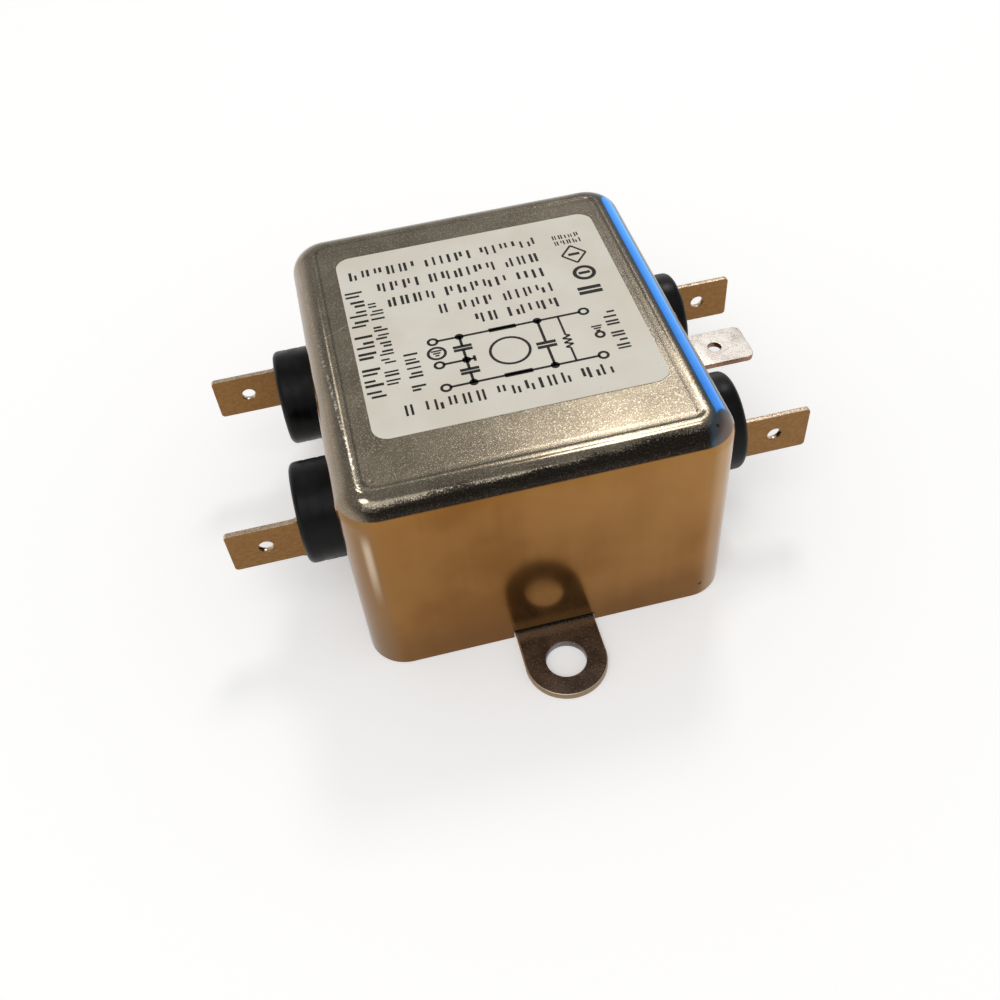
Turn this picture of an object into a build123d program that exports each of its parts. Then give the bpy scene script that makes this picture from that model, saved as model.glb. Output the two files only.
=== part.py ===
from build123d import *
import os
from math import cos, hypot, radians, sin

# Mains line filter in a drawn steel can, in millimetres.
# The origin is the bottom centre of the can, where it stands on its base plate.
# +X is the line side with the earth tab, -X the load side, -Y the front ear,
# +Y the rear ear, and +Z points up to the label.

# Drawn steel can, open at the bottom
can_length = 46.0
can_width = 52.6
can_height = 28.8
can_wall = 0.6
can_corner_radius = 4.8
can_top_radius = 3.2

# Base plate with two mounting ears
plate_thickness = 1.0
plate_fit = 0.1
ear_width = 10.2
ear_edge_radius = 0.25
ear_hole_diameter = 5.0
ear_hole_spacing = 63.5
ear_notch_side_gap = 0.15
ear_notch_top_gap = 0.4

# Push-on blades, one at each corner of the circuit
blade_width = 6.3
blade_thickness = 0.8
blade_length = 9.05
blade_tip_radius = 1.0
blade_tip_chamfer = 0.2
blade_hole_diameter = 1.8
blade_hole_from_tip = 4.5
blade_flare_width = 0.35
blade_flare_length = 0.6
blade_shank_width = 4.2
blade_inner_length = 5.4

# Round insulating bushes that carry the blades through the can
bush_offset = 10.8
bush_head_length = 5.1
bush_head_edge_radius = 0.8
bush_rim = 1.22
bush_web = 0.6
bush_hole_gap = 0.1
bush_lip = 0.4
bush_lip_length = 2.4
bush_lip_chamfer = 0.3
bush_slot_gap = 0.05
blade_shift = 3.3
blade_drop = 0.6

# Earth tab, a bent strip spot-welded to the line side of the can
tab_top_height = 17.3
tab_reach = 11.3
tab_foot_length = 9.0
tab_bend_radius = 0.6
weld_diameter = 2.2
weld_depth = 0.15
weld_spacing = 3.4

# Self-adhesive label on top of the can
label_length = 35.0
label_width = 35.0
label_thickness = 0.12
label_corner_radius = 2.0
label_offset_x = 0.3
label_offset_y = 1.5

# Ring core choke with one winding on each half
core_outer_diameter = 22.0
core_inner_diameter = 12.6
core_edge_radius = 0.8
choke_bedding = 2.0
winding_wire_diameter = 0.9
winding_gap = 0.1
winding_bend_radius = 0.9
winding_turns = 13
winding_free_angle = 22.0
winding_tail_bend = 1.6
winding_tail_run = 4.7
divider_thickness = 1.0
divider_fit = 0.1

# Two film capacitors across the line, standing over the choke
film_thickness = 5.6
film_length = 18.0
film_offset = 6.0
film_edge_radius = 0.6
film_cover = 1.2
film_lead_inset = 1.5
film_lead_drop = 1.3
film_lead_rise = 0.4
film_lead_bend = 1.8
choke_to_lead_gap = 0.85

# Two disc capacitors from the load side to earth
disc_diameter = 9.0
disc_thickness = 4.0
disc_edge_radius = 1.2
disc_gap = 1.2
disc_rise = 1.5
disc_lead_pitch = 7.5
disc_earth_drop = 4.0
disc_lead_bend = 0.8

# Bleed resistor across the line side
resistor_diameter = 3.2
resistor_length = 9.0
resistor_edge_radius = 0.6
resistor_rise = 6.7
resistor_lead_bend = 1.5

# Component leads, their solder places on the blades, and the filling resin
lead_diameter = 0.7
lead_root = 0.5
tail_contact = 1.0
disc_contact = 1.7
film_contact = 2.4
pocket_gap = 0.1
resin_shrink = 0.05

# Places that follow from the sizes above
wall_face = can_length / 2
inner_wall_face = wall_face - can_wall
inner_side_face = can_width / 2 - can_wall
ceiling = can_height - can_wall
bush_height = can_height / 2
bush_face = wall_face + bush_head_length
blade_height = bush_height - blade_drop
blade_offset = bush_offset + blade_shift
blade_tip = bush_face + blade_length
blade_inner_end = inner_wall_face - bush_lip_length - blade_inner_length
blade_inner_side = blade_offset - blade_thickness / 2
blade_outer_side = blade_offset + blade_thickness / 2
slot_corner = hypot(blade_shift + blade_thickness / 2, blade_shank_width / 2 + blade_drop)
bush_neck_radius = slot_corner + bush_web
bush_head_radius = bush_neck_radius + bush_rim
film_lead_height = blade_height + film_lead_rise
winding_top = film_lead_height - lead_diameter / 2 - choke_to_lead_gap
winding_bottom = plate_thickness + choke_bedding
winding_build = winding_wire_diameter + winding_gap
core_bottom = winding_bottom + winding_build
core_top = winding_top - winding_build

sides = {"line": 1, "load": -1}
rows = {"front": -1, "rear": 1}


def save(solid, name):
    solid.label = name
    export_step(solid, f"parts/{name}.step")


def rounded_block(length, width, low, high, corner_radius, top_radius):
    """A block with rounded upright corners and a rounded top edge."""
    block = extrude(Pos(0, 0, low) * RectangleRounded(length, width, corner_radius), high - low)
    return fillet(block.faces().sort_by(Axis.Z)[-1].edges(), top_radius)


def wire_along(points, bends, diameter):
    """A round wire along straight runs joined by tangent arcs."""
    path = FilletPolyline(*points, radius=bends)
    start = Plane(origin=path @ 0, z_dir=path % 0)
    return sweep(start * Circle(diameter / 2), path=path)


def across(low, high, diameter, y, z):
    """A round bar along X, from low to high."""
    return Pos((low + high) / 2, y, z) * Rot(0, 90, 0) * Cylinder(diameter / 2, high - low)


# Drawn can: one sheet with four bush holes and two notches for the ears
def make_can():
    can = rounded_block(can_length, can_width, 0, can_height, can_corner_radius, can_top_radius)
    can -= rounded_block(
        can_length - 2 * can_wall,
        can_width - 2 * can_wall,
        0,
        ceiling,
        can_corner_radius - can_wall,
        can_top_radius - can_wall,
    )
    hole_diameter = 2 * (bush_neck_radius + bush_hole_gap)
    for y in (-bush_offset, bush_offset):
        can -= across(-can_length, can_length, hole_diameter, y, bush_height)
    notch_width = ear_width + 2 * ear_notch_side_gap
    notch_height = plate_thickness + ear_notch_top_gap
    can -= Pos(0, 0, notch_height / 2) * Box(notch_width, 2 * can_width, notch_height)
    return can


# Base plate: stamped sheet that closes the can, its ears passing out through the notches
def make_base_plate():
    outline = RectangleRounded(
        can_length - 2 * (can_wall + plate_fit),
        can_width - 2 * (can_wall + plate_fit),
        can_corner_radius - can_wall - plate_fit,
    )
    plate = extrude(outline, plate_thickness)
    hole_place = ear_hole_spacing / 2
    ear = extrude(SlotCenterToCenter(ear_hole_spacing, ear_width, rotation=90), plate_thickness)
    ear = fillet(ear.edges().filter_by(Axis.Z, reverse=True), ear_edge_radius)
    plate += ear
    for y in (-hole_place, hole_place):
        plate -= Pos(0, y, plate_thickness / 2) * Cylinder(ear_hole_diameter / 2, 2 * plate_thickness)
    return plate


# Bush: moulded head outside, neck in the can's hole and a snap lip inside
def make_bush(side, row):
    y = row * bush_offset
    head = across(wall_face, bush_face, 2 * bush_head_radius, y, bush_height)
    head = fillet(head.faces().sort_by(Axis.X)[-1].edges(), bush_head_edge_radius)
    neck = across(inner_wall_face, wall_face, 2 * bush_neck_radius, y, bush_height)
    lip_end = inner_wall_face - bush_lip_length
    lip = across(lip_end, inner_wall_face, 2 * (bush_neck_radius + bush_lip), y, bush_height)
    lip = chamfer(lip.faces().sort_by(Axis.X)[0].edges(), bush_lip_chamfer)
    slot = Pos(bush_face / 2, row * blade_offset, blade_height) * Box(
        2 * bush_face,
        blade_thickness + 2 * bush_slot_gap,
        blade_shank_width + 2 * bush_slot_gap,
    )
    bush = head + neck + lip - slot
    return bush if side > 0 else mirror(bush, about=Plane.YZ)


# Blade: stamped strip whose shoulders seat on the bush and whose shank runs inside
def make_blade(side, row):
    half = blade_width / 2
    shank = blade_shank_width / 2
    shoulder = half + blade_flare_width
    flare_end = bush_face + blade_flare_length
    outline = Polyline(
        (blade_inner_end, -shank),
        (bush_face, -shank),
        (bush_face, -shoulder),
        (flare_end, -half),
        (blade_tip, -half),
        (blade_tip, half),
        (flare_end, half),
        (bush_face, shoulder),
        (bush_face, shank),
        (blade_inner_end, shank),
        close=True,
    )
    blank = extrude(Plane.XZ * make_face(outline), blade_thickness / 2, both=True)
    tip_corners = blank.edges().filter_by(Axis.Y).group_by(Axis.X)[-1]
    blank = fillet(tip_corners, blade_tip_radius)
    tip_line = blank.edges().filter_by(Axis.Z).group_by(Axis.X)[-1]
    blank = chamfer(tip_line, blade_tip_chamfer)
    hole = Pos(blade_tip - blade_hole_from_tip, 0, 0) * Rot(90, 0, 0) * Cylinder(
        blade_hole_diameter / 2, 2 * blade_thickness
    )
    blade = Pos(0, row * blade_offset, blade_height) * (blank - hole)
    return blade if side > 0 else mirror(blade, about=Plane.YZ)


# Earth tab: a strip bent to an L, its foot spot-welded flat on the can
def make_earth_tab():
    foot_face = wall_face + blade_thickness
    tip = wall_face + tab_reach
    bottom = tab_top_height - tab_foot_length
    profile = Polyline(
        (wall_face, bottom),
        (foot_face, bottom),
        (foot_face, tab_top_height - blade_thickness),
        (tip, tab_top_height - blade_thickness),
        (tip, tab_top_height),
        (wall_face, tab_top_height),
        close=True,
    )
    tab = extrude(Plane.XZ * make_face(profile), blade_width / 2, both=True)
    inner_corner = (foot_face, 0, tab_top_height - blade_thickness)
    inner_bend = tab.edges().filter_by(Axis.Y).sort_by_distance(inner_corner)[0]
    tab = fillet(inner_bend, tab_bend_radius)
    outer_corner = (wall_face, 0, tab_top_height)
    outer_bend = tab.edges().filter_by(Axis.Y).sort_by_distance(outer_corner)[0]
    tab = fillet(outer_bend, tab_bend_radius + blade_thickness)
    tip_corners = tab.edges().filter_by(Axis.Z).group_by(Axis.X)[-1]
    tab = fillet(tip_corners, blade_tip_radius)
    hole_place = tip - blade_hole_from_tip
    tab -= Pos(hole_place, 0, tab_top_height) * Cylinder(blade_hole_diameter / 2, 4 * blade_thickness)
    weld_height = bottom + (tab_foot_length - blade_thickness) / 2
    for z in (weld_height - weld_spacing / 2, weld_height + weld_spacing / 2):
        tab -= across(foot_face - weld_depth, foot_face + weld_depth, weld_diameter, 0, z)
    return tab


# Label: a thin plastic film stuck on the flat of the can's top
def make_label():
    outline = RectangleRounded(label_length, label_width, label_corner_radius)
    return extrude(Pos(label_offset_x, label_offset_y, can_height) * outline, label_thickness)


# Choke: coated ferrite ring, a strip that parts its two windings, and the windings
def make_core():
    height = core_top - core_bottom
    ring = Cylinder(core_outer_diameter / 2, height) - Cylinder(core_inner_diameter / 2, height)
    ring = fillet(ring.edges().filter_by(GeomType.CIRCLE), core_edge_radius)
    return Pos(0, 0, (core_top + core_bottom) / 2) * ring


def make_divider():
    length = core_inner_diameter - 2 * divider_fit
    middle = (winding_top + winding_bottom) / 2
    return Pos(0, 0, middle) * Box(length, divider_thickness, winding_top - winding_bottom)


def winding_levels():
    """Heights of the wire's centre line under and over the core."""
    low = winding_bottom + winding_wire_diameter / 2
    high = winding_top - winding_wire_diameter / 2
    return low, high


def ring_point(radius, angle, height):
    return (radius * cos(radians(angle)), radius * sin(radians(angle)), height)


def outer_wire_radius():
    return core_outer_diameter / 2 + winding_gap + winding_wire_diameter / 2


def inner_wire_radius():
    return core_inner_diameter / 2 - winding_gap - winding_wire_diameter / 2


def tail_points(side):
    """The wire's last point on the core, its outer edge, a corner and its end on a rear blade."""
    low, high = winding_levels()
    contact = side * (blade_inner_end + tail_contact)
    height = blade_height - blade_shank_width / 2 + winding_wire_diameter
    if side > 0:
        angle = winding_free_angle
        on_core = ring_point(inner_wire_radius(), angle, high)
    else:
        angle = 180 - winding_free_angle
        on_core = ring_point(outer_wire_radius(), angle, low)
    return [
        on_core,
        ring_point(outer_wire_radius(), angle, high),
        (contact, blade_inner_side - winding_tail_run, height),
        (contact, blade_inner_side, height),
    ]


def make_rear_winding():
    low, high = winding_levels()
    outer = outer_wire_radius()
    inner = inner_wire_radius()
    pitch = (180 - 2 * winding_free_angle) / winding_turns
    line_tail = tail_points(1)
    load_tail = tail_points(-1)
    points = [line_tail[3], line_tail[2], line_tail[1]]
    bends = [winding_tail_bend, winding_bend_radius]
    for turn in range(winding_turns):
        angle = winding_free_angle + turn * pitch
        points += [ring_point(inner, angle, high), ring_point(inner, angle, low)]
        points += [ring_point(outer, angle + pitch, low), ring_point(outer, angle + pitch, high)]
        bends += [winding_bend_radius] * 4
    points += [load_tail[2], load_tail[3]]
    bends += [winding_tail_bend]
    return wire_along(points, bends, winding_wire_diameter)


# Film capacitor: sealed plastic box whose two leads reach the blades of its side
def make_film_capacitor(side):
    x = side * film_offset
    low = film_lead_height + film_lead_drop
    high = ceiling - film_cover
    body = Pos(x, 0, (low + high) / 2) * Box(film_thickness, film_length, high - low)
    capacitor = fillet(body.edges(), film_edge_radius)
    lead_place = film_length / 2 - film_lead_inset
    contact = side * (blade_inner_end + film_contact)
    for row in rows.values():
        points = [
            (x, row * lead_place, low + lead_root),
            (x, row * lead_place, film_lead_height),
            (contact, row * lead_place, film_lead_height),
            (contact, row * blade_inner_side, film_lead_height),
        ]
        bends = [min(film_lead_drop / 2, film_lead_bend), film_lead_bend]
        capacitor += wire_along(points, bends, lead_diameter)
    return capacitor


# Disc capacitor: dipped ceramic disc, one lead to its load blade and one to the can
def make_disc_capacitor(row):
    live_x = -(blade_inner_end + disc_contact)
    earth_x = live_x + disc_lead_pitch
    y = blade_outer_side + disc_gap + disc_thickness / 2
    bottom = blade_height + disc_rise
    height = bottom + disc_diameter / 2
    disc = Rot(90, 0, 0) * Cylinder(disc_diameter / 2, disc_thickness)
    disc = fillet(disc.edges().filter_by(GeomType.CIRCLE), disc_edge_radius)
    capacitor = Pos((live_x + earth_x) / 2, row * y, height) * disc
    root = height - sin(radians(45)) * disc_diameter / 2 + lead_root
    live = [
        (live_x, row * y, root),
        (live_x, row * y, blade_height),
        (live_x, row * blade_outer_side, blade_height),
    ]
    earth = [
        (earth_x, row * y, root),
        (earth_x, row * y, blade_height - disc_earth_drop),
        (earth_x, row * inner_side_face, blade_height - disc_earth_drop),
    ]
    for points in (live, earth):
        capacitor += wire_along(points, [disc_lead_bend], lead_diameter)
    return capacitor


# Bleed resistor: lacquered barrel whose leads drop onto the two line blades
def make_resistor():
    x = blade_inner_end + disc_contact
    height = blade_height + resistor_rise
    barrel = Rot(90, 0, 0) * Cylinder(resistor_diameter / 2, resistor_length)
    barrel = fillet(barrel.edges().filter_by(GeomType.CIRCLE), resistor_edge_radius)
    resistor = Pos(x, 0, height) * barrel
    for row in rows.values():
        points = [
            (x, row * (resistor_length / 2 - lead_root), height),
            (x, row * blade_offset, height),
            (x, row * blade_offset, blade_height + blade_shank_width / 2),
        ]
        resistor += wire_along(points, [resistor_lead_bend], lead_diameter)
    return resistor


# Resin: poured in from below, it fills the can around everything inside
def make_resin(inner_pieces):
    resin = rounded_block(
        can_length - 2 * (can_wall + resin_shrink),
        can_width - 2 * (can_wall + resin_shrink),
        plate_thickness,
        ceiling - resin_shrink,
        can_corner_radius - can_wall - resin_shrink,
        can_top_radius - can_wall - resin_shrink,
    )
    pocket_height = winding_top - winding_bottom + 2 * pocket_gap
    pocket = Cylinder(core_outer_diameter / 2 + winding_build + pocket_gap, pocket_height)
    pocket -= Cylinder(core_inner_diameter / 2 - winding_build - pocket_gap, pocket_height)
    resin -= Pos(0, 0, (winding_top + winding_bottom) / 2) * pocket
    bends = [winding_bend_radius, winding_tail_bend]
    for side in sides.values():
        tail = wire_along(tail_points(side), bends, winding_wire_diameter)
        resin -= tail
        resin -= mirror(tail, about=Plane.XZ)
    for piece in inner_pieces:
        resin -= piece
    return resin


save(make_can(), "can")
save(make_base_plate(), "base_plate")
save(make_earth_tab(), "earth_tab")
save(make_label(), "label")
save(make_core(), "choke_core")
divider = make_divider()
save(divider, "choke_divider")
rear_winding = make_rear_winding()
save(rear_winding, "choke_winding_rear")
save(mirror(rear_winding, about=Plane.XZ), "choke_winding_front")
potted = [divider]
for side_name, side in sides.items():
    film_capacitor = make_film_capacitor(side)
    save(film_capacitor, f"film_capacitor_{side_name}")
    potted.append(film_capacitor)
    for row_name, row in rows.items():
        bush = make_bush(side, row)
        blade = make_blade(side, row)
        save(bush, f"bush_{side_name}_{row_name}")
        save(blade, f"blade_{side_name}_{row_name}")
        potted += [bush, blade]
for row_name, row in rows.items():
    disc_capacitor = make_disc_capacitor(row)
    save(disc_capacitor, f"disc_capacitor_{row_name}")
    potted.append(disc_capacitor)
bleed_resistor = make_resistor()
save(bleed_resistor, "bleed_resistor")
potted.append(bleed_resistor)
save(make_resin(potted), "resin_filling")
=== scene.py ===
import random
from math import cos, degrees, radians, sin

import bmesh
import bpy
from mathutils import Matrix, Vector


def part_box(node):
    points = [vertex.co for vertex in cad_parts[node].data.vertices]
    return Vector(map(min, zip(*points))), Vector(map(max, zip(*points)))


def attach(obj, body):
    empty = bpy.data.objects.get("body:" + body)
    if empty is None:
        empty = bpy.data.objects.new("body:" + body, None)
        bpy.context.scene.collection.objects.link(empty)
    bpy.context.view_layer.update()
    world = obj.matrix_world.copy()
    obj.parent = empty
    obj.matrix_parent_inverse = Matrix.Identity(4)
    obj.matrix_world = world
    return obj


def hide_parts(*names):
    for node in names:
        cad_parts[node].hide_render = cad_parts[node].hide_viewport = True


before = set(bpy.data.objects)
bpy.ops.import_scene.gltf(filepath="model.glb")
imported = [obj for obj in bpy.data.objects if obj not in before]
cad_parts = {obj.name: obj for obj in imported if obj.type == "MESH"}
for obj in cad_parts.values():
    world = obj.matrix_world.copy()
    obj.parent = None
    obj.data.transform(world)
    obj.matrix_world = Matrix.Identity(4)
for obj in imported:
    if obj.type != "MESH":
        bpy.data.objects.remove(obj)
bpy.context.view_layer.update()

# Can: the steel shell of the filter, drawn in one piece and tin plated.
# It is open at the bottom, with four holes for the bushes and two notches for the ears.
# The punch leaves a shallow groove round its top, just inside the rounded edge.
mm = 0.001
can_wall = 0.6 * mm
can_corner = 4.8 * mm
can_top_radius = 3.2 * mm
corner_steps = 14
top_steps = 12
groove_inset = 0.3 * mm
groove_side = 0.24 * mm
groove_width = 0.7 * mm
groove_depth = 0.055 * mm
bush_hole_radius = 5.28 * mm
bush_offset = 10.8 * mm
notch_width = 10.5 * mm
notch_height = 1.4 * mm
sheet_edge_rounding = 0.07 * mm
through_can = 60 * mm
notch_reach = 40 * mm
nearly = 0.99
exactly = 0.9999


def only(piece):
    """Leave edit mode, and make this piece the only one selected."""
    if bpy.context.mode != "OBJECT":
        bpy.ops.object.mode_set(mode="OBJECT")
    bpy.ops.object.select_all(action="DESELECT")
    piece.select_set(True)
    bpy.context.view_layer.objects.active = piece


def settle(name):
    """Name the new primitive, and put its place, turn and size into its mesh."""
    piece = bpy.context.object
    piece.name = name
    piece.data.name = name
    bpy.ops.object.transform_apply(location=True, rotation=True, scale=True)
    return piece


def block(name, low, high):
    """A block between its lowest and highest corner."""
    bpy.ops.object.select_all(action="DESELECT")
    centre = [(a + b) / 2 for a, b in zip(low, high)]
    size = [b - a for a, b in zip(low, high)]
    bpy.ops.mesh.primitive_cube_add(size=1, location=centre, scale=size)
    return settle(name)


def rod(name, centre, radius, length, turn=(0, 0, 0), sides=64):
    """A round rod, upright unless it is turned."""
    bpy.ops.object.select_all(action="DESELECT")
    bpy.ops.mesh.primitive_cylinder_add(
        vertices=sides, radius=radius, depth=length, location=centre, rotation=turn
    )
    return settle(name)


def pick(piece, kind, test):
    """In edit mode, select the edges by middle and run, or the faces by centre and normal."""
    only(piece)
    bpy.ops.object.mode_set(mode="EDIT")
    bpy.ops.mesh.select_mode(type=kind)
    bpy.ops.mesh.select_all(action="DESELECT")
    mesh = bmesh.from_edit_mesh(piece.data)
    if kind == "FACE":
        for face in mesh.faces:
            if test(face.calc_center_median(), face.normal):
                face.select_set(True)
    else:
        for edge in mesh.edges:
            start, end = (corner.co for corner in edge.verts)
            if test((start + end) / 2, (end - start).normalized()):
                edge.select_set(True)
    mesh.select_flush_mode()
    bmesh.update_edit_mesh(piece.data)


def round_picked(radius, steps):
    """Round the selected edges, and leave edit mode."""
    bpy.ops.mesh.bevel(offset=radius, segments=steps, affect="EDGES", clamp_overlap=True)
    bpy.ops.object.mode_set(mode="OBJECT")


def modify(piece, kind, **settings):
    """Add a modifier, set it and apply it."""
    only(piece)
    modifier = piece.modifiers.new(kind.lower(), kind)
    for key, value in settings.items():
        setattr(modifier, key, value)
    bpy.ops.object.modifier_apply(modifier=modifier.name)


def cut(piece, cutter):
    """Take the cutter's shape out of the piece."""
    modify(piece, "BOOLEAN", operation="DIFFERENCE", solver="EXACT", object=cutter)
    bpy.data.objects.remove(cutter)


def ease_edges(piece, radius, angle=50):
    """Round every sharp edge a little, as on stamped sheet."""
    modify(
        piece, "BEVEL", width=radius, segments=2, limit_method="ANGLE",
        angle_limit=radians(angle), miter_outer="MITER_ARC",
    )


def smooth(piece, angle=35):
    """Smooth shading that keeps flat faces flat."""
    only(piece)
    bpy.ops.object.shade_smooth_by_angle(angle=radians(angle))
    modify(piece, "WEIGHTED_NORMAL", keep_sharp=True, weight=100)


def dress(piece, finish):
    """Give the whole piece one finish."""
    piece.data.materials.clear()
    piece.data.materials.append(finish)


def stands_for(piece, node_name):
    """Say what the piece rides on and which solid it replaces."""
    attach(piece, "root")
    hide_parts(node_name)


def is_upright(run):
    """Whether an edge runs up and down."""
    return abs(run.z) > nearly


def faces_up(normal):
    """Whether a face is level and looks up."""
    return normal.z > exactly


can_low, can_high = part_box("can")
top_level = can_high.z
can = block("can_shell", can_low, can_high)
pick(can, "EDGE", lambda middle, run: is_upright(run))
round_picked(can_corner, corner_steps)
pick(can, "EDGE", lambda middle, run: middle.z > top_level - mm and not is_upright(run))
round_picked(can_top_radius, top_steps)
pick(can, "FACE", lambda centre, normal: faces_up(normal))
bpy.ops.mesh.inset(thickness=groove_inset)
bpy.ops.mesh.inset(thickness=groove_side, depth=-groove_depth)
bpy.ops.mesh.inset(thickness=groove_width)
bpy.ops.mesh.inset(thickness=groove_side, depth=groove_depth)
pick(can, "FACE", lambda centre, normal: normal.z < -nearly)
bpy.ops.mesh.delete(type="FACE")
modify(can, "SOLIDIFY", thickness=can_wall, offset=-1, use_even_offset=True)
across_can = (0, radians(90), 0)
for y in (-bush_offset, bush_offset):
    cut(can, rod("hole", (0, y, top_level / 2), bush_hole_radius, through_can, turn=across_can))
notch_corner = Vector((notch_width / 2, notch_reach, notch_height))
cut(can, block("notch", (-notch_corner.x, -notch_corner.y, -mm), notch_corner))
ease_edges(can, sheet_edge_rounding)
smooth(can)
stands_for(can, "can")


def seen(red, green, blue):
    """A colour as it is seen, from 0 to 255, made linear."""
    parts = [value / 255 for value in (red, green, blue)]
    return (*[part / 12.92 if part < 0.04 else ((part + 0.055) / 1.055) ** 2.4 for part in parts], 1)


def new_finish(name, metallic, roughness):
    """A finish with its shader, of one metal share and gloss until more is linked to it."""
    finish = bpy.data.materials.new(name)
    finish.use_nodes = True
    shader = finish.node_tree.nodes["Principled BSDF"]
    shader.inputs["Metallic"].default_value = metallic
    shader.inputs["Roughness"].default_value = roughness
    return finish, shader


def add(finish, kind, inputs, **settings):
    """Add a node, set it, and link or fill its inputs."""
    made = finish.node_tree.nodes.new("ShaderNode" + kind)
    for key, value in settings.items():
        setattr(made, key, value)
    for key, value in inputs.items():
        join(finish, value, made.inputs[key])
    return made


def join(finish, value, socket):
    """Link a node's result to the socket, or set the socket to a plain value."""
    if isinstance(value, bpy.types.NodeSocket):
        finish.node_tree.links.new(value, socket)
    else:
        socket.default_value = value


def place(finish):
    """The place on the piece, in metres."""
    return add(finish, "TexCoord", {}).outputs["Object"]


def grain(finish, size, detail=2, stretch=(1, 1, 1)):
    """A cloudy pattern with grains of about this size."""
    spot = add(finish, "Mapping", {"Vector": place(finish), "Scale": stretch})
    cloud = add(
        finish, "TexNoise", {"Vector": spot.outputs[0], "Scale": 1 / size, "Detail": detail}
    )
    return cloud.outputs["Fac"]


def rise(finish, value, low, high, start=0.0, end=1.0):
    """Go smoothly from start to end as the value goes from low to high."""
    return add(
        finish, "MapRange",
        {"Value": value, "From Min": low, "From Max": high, "To Min": start, "To Max": end},
        interpolation_type="SMOOTHSTEP",
    ).outputs["Result"]


def work(finish, operation, first, second=0.0):
    """The result of a sum with two numbers."""
    return add(finish, "Math", {0: first, 1: second}, operation=operation).outputs[0]


def both(finish, first, *others):
    """The share in which all of these shares hold."""
    for other in others:
        first = work(finish, "MULTIPLY", first, other)
    return first


def away(finish, value, middle=0.0):
    """How far the value is from the middle, to either side."""
    return work(finish, "ABSOLUTE", work(finish, "SUBTRACT", value, middle))


def tint(finish, share, first, second):
    """The first colour, turning into the second as the share goes to 1."""
    return add(finish, "Mix", {0: share, 6: first, 7: second}, data_type="RGBA").outputs[2]


def mottled(finish, pattern, dark, light, low=0.3, high=0.7):
    """A dark and a light colour, as seen, that follow the pattern."""
    return tint(finish, rise(finish, pattern, low, high), seen(*dark), seen(*light))


def rough_up(finish, shader, height, depth, strength):
    """Small bumps of this depth."""
    bump = add(finish, "Bump", {"Height": height, "Distance": depth, "Strength": strength})
    join(finish, bump.outputs["Normal"], shader.inputs["Normal"])
    return bump


def parts_of(finish, vector):
    """The three parts of a place or of a direction."""
    split = add(finish, "SeparateXYZ", {0: vector})
    return split.outputs[0], split.outputs[1], split.outputs[2]


def near(finish, point, radius, core=0.35):
    """One in the core round this point of the piece, falling to nothing at the radius."""
    gap = add(finish, "VectorMath", {0: place(finish), 1: point}, operation="DISTANCE")
    return rise(finish, gap.outputs["Value"], radius, core * radius)


# The plating is dull and speckled on top. Painted reflections darken a band round the edges and make
# the walls warm brown.
# So its colour follows the way that the steel faces, and the place on the can.
draw_mark_share = 0.16
highlight_facing = -0.48
scratch_turn = radians(28)
scratch_stretch = 22
scratch_size = 0.35 * mm
raggedness = 0.25
rim_slant = -0.0567
rim_middle_x = -19.9 * mm
rim_middle_y = -21.4 * mm
steel, steel_shader = new_finish("drawn_steel", metallic=1.0, roughness=0.25)
facing = add(steel, "NewGeometry", {}).outputs["Normal"]
facing_x, facing_y, facing_z = parts_of(steel, facing)
spot_x, spot_y, spot_z = parts_of(steel, place(steel))
speckle = grain(steel, 0.17 * mm, detail=3)
mottle = grain(steel, 5 * mm, detail=4)
cloud = grain(steel, 14 * mm, detail=3)
draw_marks = grain(steel, 1.8 * mm, detail=3, stretch=(1, 1, 0.07))

# The walls are painted brown, a painted reflection of warm surroundings, with painted shade at the
# foot, painted light high up towards the line end and painted sheen at the corners
wall_tone = work(steel, "ADD", cloud, both(steel, draw_marks, draw_mark_share))
wall_reflection_colour = mottled(steel, wall_tone, (130, 88, 42), (150, 107, 58), low=0.42, high=0.74)
wall_foot_shade = rise(steel, spot_z, 9 * mm, 1 * mm, end=0.5)
wall_reflection_colour = tint(steel, wall_foot_shade, wall_reflection_colour, seen(106, 74, 40))
painted_light_end = both(
    steel,
    rise(steel, spot_x, -8 * mm, 18 * mm),
    rise(steel, spot_z, 9 * mm, 20 * mm, end=0.45),
)
wall_reflection_colour = tint(steel, painted_light_end, wall_reflection_colour, seen(168, 126, 74))
at_corner = rise(steel, away(steel, both(steel, facing_x, facing_y)), 0.12, 0.42)
left_corner_sheen = both(steel, at_corner, rise(steel, facing_x, 0.0, -0.4, end=0.45))
wall_reflection_colour = tint(steel, left_corner_sheen, wall_reflection_colour, seen(134, 108, 78))
right_corner_sheen = both(steel, at_corner, rise(steel, facing_x, 0.0, 0.4, end=0.4))
wall_reflection_colour = tint(steel, right_corner_sheen, wall_reflection_colour, seen(190, 158, 118))
# A painted highlight runs down the front corner on the load side
corner_highlight = both(
    steel,
    rise(steel, away(steel, facing_x, highlight_facing), 0.14, 0.02),
    rise(steel, facing_y, -0.3, -0.6),
    rise(steel, spot_z, 11 * mm, 20 * mm),
    rise(steel, spot_z, 25.5 * mm, 22 * mm, end=0.6),
)
wall_reflection_colour = tint(steel, corner_highlight, wall_reflection_colour, seen(222, 206, 180))

# The top is grey, with bright speckles and fine slanting scratches
top_colour = mottled(steel, mottle, (113, 104, 90), (129, 120, 104), low=0.35, high=0.7)
top_colour = tint(steel, rise(steel, speckle, 0.5, 0.72), top_colour, seen(170, 161, 145))
scratch_run = add(
    steel, "Mapping",
    {"Vector": place(steel), "Rotation": (0, 0, scratch_turn), "Scale": (scratch_stretch, 1, 1)},
    vector_type="TEXTURE",
)
scratch_cloud = add(
    steel, "TexNoise", {"Vector": scratch_run.outputs[0], "Scale": 1 / scratch_size, "Detail": 1}
)
scratches = rise(steel, scratch_cloud.outputs["Fac"], 0.68, 0.78, end=0.4)
top_colour = tint(steel, scratches, top_colour, seen(196, 188, 172))
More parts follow.
